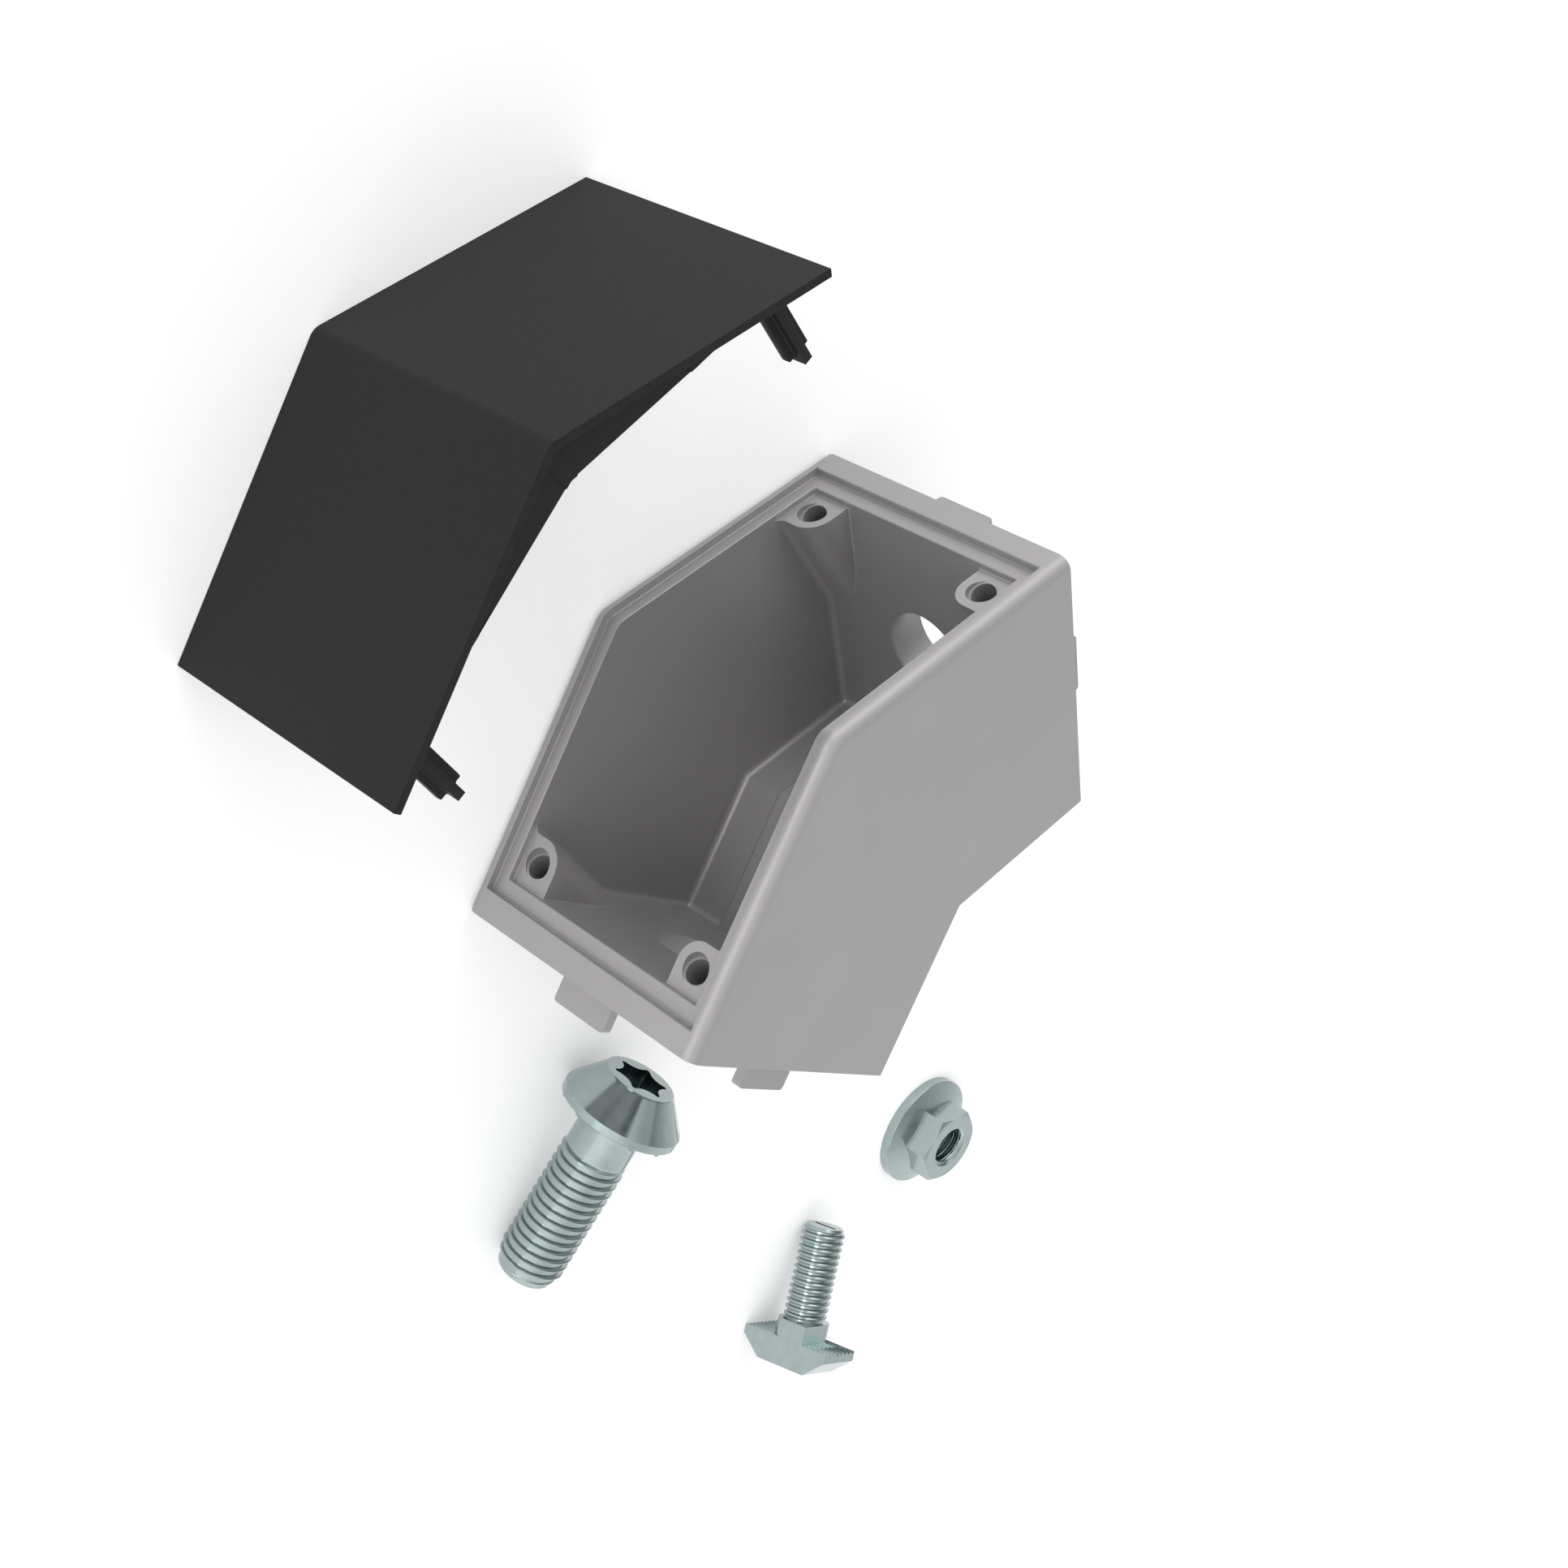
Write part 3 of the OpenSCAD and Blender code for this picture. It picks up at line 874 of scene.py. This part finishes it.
@dataclass
class THeadBolt(Piece):
    """The bolt with its toothed T-head, square neck and metric thread. Sizes in millimetres.

    Its origin is on its axis in the head's outer face, and z points to the thread's tip.

    Attributes:
        place: Where it lies on the bench.
        slot_size: Size of the mark in its end.
        sunk: How deep the turned stem is sunk in the neck.
        steps: Number of steps round the stem.
        shaded_sharp: Angle in degrees over which the stem's edges are shaded sharp.
    """

    node: str = "t_bolt"
    slot: str = "zinc_bolt"
    name: str = "t_head_bolt"
    finish: Finish = field(default_factory=ZincPlate)
    edges: EdgeSoftener = EdgeSoftener(outer=0.09, inner=0.2)
    head_len: float = 18.2
    head_h: float = 5.1
    neck_top: float = 8.4
    bolt_r: float = 4.0
    bolt_len: float = 17.5
    chamfer: float = 0.7
    root_r: float = 3.42
    pitch: float = 1.25
    place: tuple[float, float] = (-66.0, -132.0)
    slot_size: Point = (4.6, 0.9, 0.6)
    sunk: float = 1.0
    steps: int = 80
    shaded_sharp: float = 33.0

    def lay(self) -> Matrix:
        """Works out how the bolt rests on a wing's end and its thread's tip.

        Returns:
            The move from the bolt's own coordinates to its place on the bench.
        """
        rise = self.neck_top - self.head_h + self.bolt_len - self.chamfer
        lean = math.atan((self.head_len / 2 - self.bolt_r) / rise)
        height = self.head_len / 2 * math.cos(lean) + self.head_h * math.sin(lean)
        turned = Matrix.Rotation(HALF_BEND, 4, "Z") @ Matrix.Rotation(math.pi / 2 + lean, 4, "Y")
        return at((*self.place, height)) @ turned

    def head(self) -> bpy.types.Object:
        """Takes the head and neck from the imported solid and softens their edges.

        Returns:
            The head and neck, in the bolt's own coordinates.
        """
        piece = copy_of(self.node, self.name)
        piece.data.transform(self.lay().inverted())
        # Just under the neck's top, so that the cut leaves no sliver of the stem
        cut_at = self.neck_top - 0.002
        wide, high = 2 * self.head_len, 2 * self.bolt_len
        cut(piece, block((wide, wide, high), (0.0, 0.0, cut_at + high / 2)))
        self.edges.soften(piece)
        return piece

    def stem(self) -> bpy.types.Object:
        """Turns the threaded stem and cuts the mark into its end.

        Returns:
            The stem, in the bolt's own coordinates.
        """
        top, foot = self.neck_top + self.bolt_len, self.neck_top - self.sunk
        thread = Thread(start=self.neck_top - 0.1, end=top - 0.05, pitch=self.pitch, crest=self.bolt_r,
                        root=self.root_r, form=ThreadForm.METRIC, foot=self.root_r, neck=self.root_r,
                        run_in=0.6, run_out=0.5)
        piece = thread.turn("threaded_stem", [(0.0, foot), (self.root_r, foot)],
                            [(self.bolt_r - self.chamfer, top), (0.0, top)], self.steps)
        for vert in piece.data.vertices:
            r, z = math.hypot(vert.co.x, vert.co.y) / MM, vert.co.z / MM
            most = self.bolt_r - self.chamfer + (top - z)
            if r > most:
                vert.co.x *= most / r
                vert.co.y *= most / r
        cut(piece, block(self.slot_size, (0.0, 0.0, top)))
        smooth_below(piece, self.shaded_sharp)
        return piece

    def build(self) -> bpy.types.Object:
        """Joins head and stem and lays the bolt down.

        Returns:
            The piece.
        """
        piece = join([self.head(), self.stem()])
        piece.data.transform(self.lay())
        return piece


@dataclass
class FlangeNut(Piece):
    """The hexagon nut with its flange and its tapped thread. Sizes in millimetres.

    Attributes:
        crest: Radius at the bottom of the bore's grooves, which the bolt's ridges fill.
        root: Radius of the bore between them.
        place: Where it stands on the bench.
        past: How far the tap's thread goes past the nut at each end.
        steps: Number of steps round the tap.
        shaded_sharp: Angle in degrees over which an edge is shaded sharp.
    """

    node: str = "flange_nut"
    slot: str = "zinc_nut"
    name: str = "hexagon_flange_nut"
    finish: Finish = field(default_factory=ZincPlate)
    edges: EdgeSoftener = EdgeSoftener(outer=0.1, inner=0.15)
    place: Point = (-16.8, -136.2, 0.0)
    height: float = 8.0
    crest: float = 4.0
    root: float = 3.3
    pitch: float = 1.25
    past: float = 1.0
    steps: int = 64
    shaded_sharp: float = 38.0

    def build(self) -> bpy.types.Object:
        """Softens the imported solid's copy and taps its bore.

        Returns:
            The piece.
        """
        piece = copy_of(self.node, self.name)
        self.edges.soften(piece)
        thread = Thread(start=-self.past, end=self.height + self.past, pitch=self.pitch, crest=self.crest,
                        root=self.root, form=ThreadForm.METRIC, foot=self.root, neck=self.root,
                        run_in=0.1, run_out=0.1)
        low, high = thread.start - 0.2, thread.end + 0.2
        tap = thread.turn("tap", [(0.0, low), (self.root, low)], [(self.root, high), (0.0, high)], self.steps)
        tap.data.transform(at(self.place))
        cut(piece, tap)
        smooth_below(piece, self.shaded_sharp)
        return piece


@dataclass(frozen=True)
class Glow:
    """A wide soft light in the sky.

    Attributes:
        towards: Direction from the set towards its middle.
        strength: Its brightness in the middle.
        narrow: How fast it fades off the middle.
    """

    towards: Point
    strength: float
    narrow: float = 2.0


@dataclass(frozen=True)
class Studio:
    """The floor, the light and the camera. Lengths in millimetres.

    Attributes:
        camera_at: Where the camera stands.
        looks_at: The point in the picture's middle.
        upward: Direction that points up in the picture.
        lens: The camera's focal length.
        sensor: Width of its sensor.
        clip: Nearest and farthest distance that it sees.
        floor_below: How far the floor lies under the set, so that the two don't flicker.
        floor_glow: How much light the floor gives off to the camera and to mirrors, to show white.
        sky: Brightness of the sky where there is no glow.
        glows: The wide soft lights in the sky.
        key_at: Place of the square soft box, which faces the origin.
        key_size: Its width.
        key_watts: Its power.
    """

    camera_at: Point = (-55.826, 235.014, 196.116)
    looks_at: Point = (-1.792, -3.490, 22.347)
    upward: Point = (0.78215, 0.47284, -0.40578)
    lens: float = 49.97
    sensor: float = 36.0
    clip: tuple[float, float] = (10.0, 50000.0)
    floor_size: float = 6000.0
    floor_below: float = 0.02
    floor_colour: str = "#f2f2f2"
    floor_glow: float = 0.25
    sky: float = 0.27
    glows: tuple[Glow, ...] = (
        Glow((0.0, 1.0, 0.3), 1.15),
        Glow((-1.0, 0.0, 0.2), 1.6),
        Glow((0.0, -1.0, 0.3), 1.06),
        Glow((0.7, 0.7, 0.0), 3.4, 6.0),
        # A small one, which the threads and the rims' corners mirror as glints
        Glow((-0.5, 0.85, 0.15), 7.0, 90.0))
    key_at: Point = (350.0, 250.0, 600.0)
    key_size: float = 900.0
    key_watts: float = 0.8

    def camera(self) -> None:
        """Sets the camera where the photograph was taken from."""
        data = bpy.data.cameras.new("camera")
        data.lens = self.lens
        data.sensor_width = self.sensor
        data.clip_start, data.clip_end = (reach * MM for reach in self.clip)
        camera = linked("camera", data)
        back = (Vector(self.camera_at) - Vector(self.looks_at)).normalized()
        right = Vector(self.upward).cross(back).normalized()
        turn = Matrix((right, back.cross(right), back)).transposed().to_4x4()
        camera.matrix_world = at(self.camera_at) @ turn
        bpy.context.scene.camera = camera

    def floor(self) -> None:
        """Lays a plain white floor that keeps the shadows."""
        bpy.ops.object.select_all(action="DESELECT")
        bpy.ops.mesh.primitive_plane_add(size=self.floor_size * MM, location=(0, 0, -self.floor_below * MM))
        floor = bpy.context.object
        floor.name = "floor"
        paint = bpy.data.materials.new("white_floor")
        paint.use_nodes = True
        tree = paint.node_tree
        tree.nodes.clear()
        seen = add_node(tree, "ShaderNodeLightPath")
        mirrored = add_node(tree, "ShaderNodeMath", {
            0: seen.outputs["Is Glossy Ray"], 1: seen.outputs["Is Transmission Ray"]}, operation="MAXIMUM")
        shown = add_node(tree, "ShaderNodeMath", {
            0: seen.outputs["Is Camera Ray"], 1: mirrored.outputs[0]}, operation="MAXIMUM")
        glow = add_node(tree, "ShaderNodeMath", {
            0: shown.outputs[0], 1: self.floor_glow}, operation="MULTIPLY")
        matte = add_node(tree, "ShaderNodeBsdfDiffuse", {"Color": linear(self.floor_colour)})
        light = add_node(tree, "ShaderNodeEmission", {"Strength": glow.outputs[0]})
        both = add_node(tree, "ShaderNodeAddShader", {0: matte.outputs[0], 1: light.outputs[0]})
        add_node(tree, "ShaderNodeOutputMaterial", {"Surface": both.outputs[0]})
        floor.data.materials.append(paint)

    def key_lamp(self) -> None:
        """Hangs one square soft box that faces the set."""
        data = bpy.data.lights.new("key", "AREA")
        data.size = self.key_size * MM
        data.energy = self.key_watts
        lamp = linked("key", data)
        lamp.location = Vector(self.key_at) * MM
        lamp.rotation_euler = (-Vector(self.key_at)).to_track_quat("-Z", "Y").to_euler()

    def light_all_round(self) -> None:
        """Lights the set from a plain sky with wide soft glows in a few directions."""
        world = bpy.data.worlds.new("sky")
        bpy.context.scene.world = world
        world.use_nodes = True
        tree = world.node_tree
        tree.nodes.clear()
        way = add_node(tree, "ShaderNodeTexCoord").outputs["Generated"]
        level: Socket | float = self.sky
        for glow in self.glows:
            facing = add_node(tree, "ShaderNodeVectorMath", {
                0: way, 1: tuple(Vector(glow.towards).normalized())}, operation="DOT_PRODUCT")
            ahead = add_node(tree, "ShaderNodeMath", {
                0: facing.outputs["Value"], 1: 0.0}, operation="MAXIMUM")
            lobe = add_node(tree, "ShaderNodeMath", {0: ahead.outputs[0], 1: glow.narrow}, operation="POWER")
            level = add_node(tree, "ShaderNodeMath", {
                0: lobe.outputs[0], 1: glow.strength, 2: level}, operation="MULTIPLY_ADD").outputs[0]
        light = add_node(tree, "ShaderNodeBackground", {"Strength": level})
        add_node(tree, "ShaderNodeOutputWorld", {"Surface": light.outputs[0]})

    def build(self) -> None:
        """Sets up the whole studio."""
        self.camera()
        self.floor()
        self.light_all_round()
        self.key_lamp()
        bpy.context.scene.view_settings.view_transform = "Standard"


def main() -> None:
    """Builds the studio and every piece."""
    logging.basicConfig(level=logging.INFO, format="%(name)s: %(message)s")
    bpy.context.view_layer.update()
    Studio().build()
    for piece in (Housing(), CoverCap(), FlangeScrew(), THeadBolt(), FlangeNut()):
        piece.dress()
    bpy.context.view_layer.update()


if __name__ == "__main__":
    main()
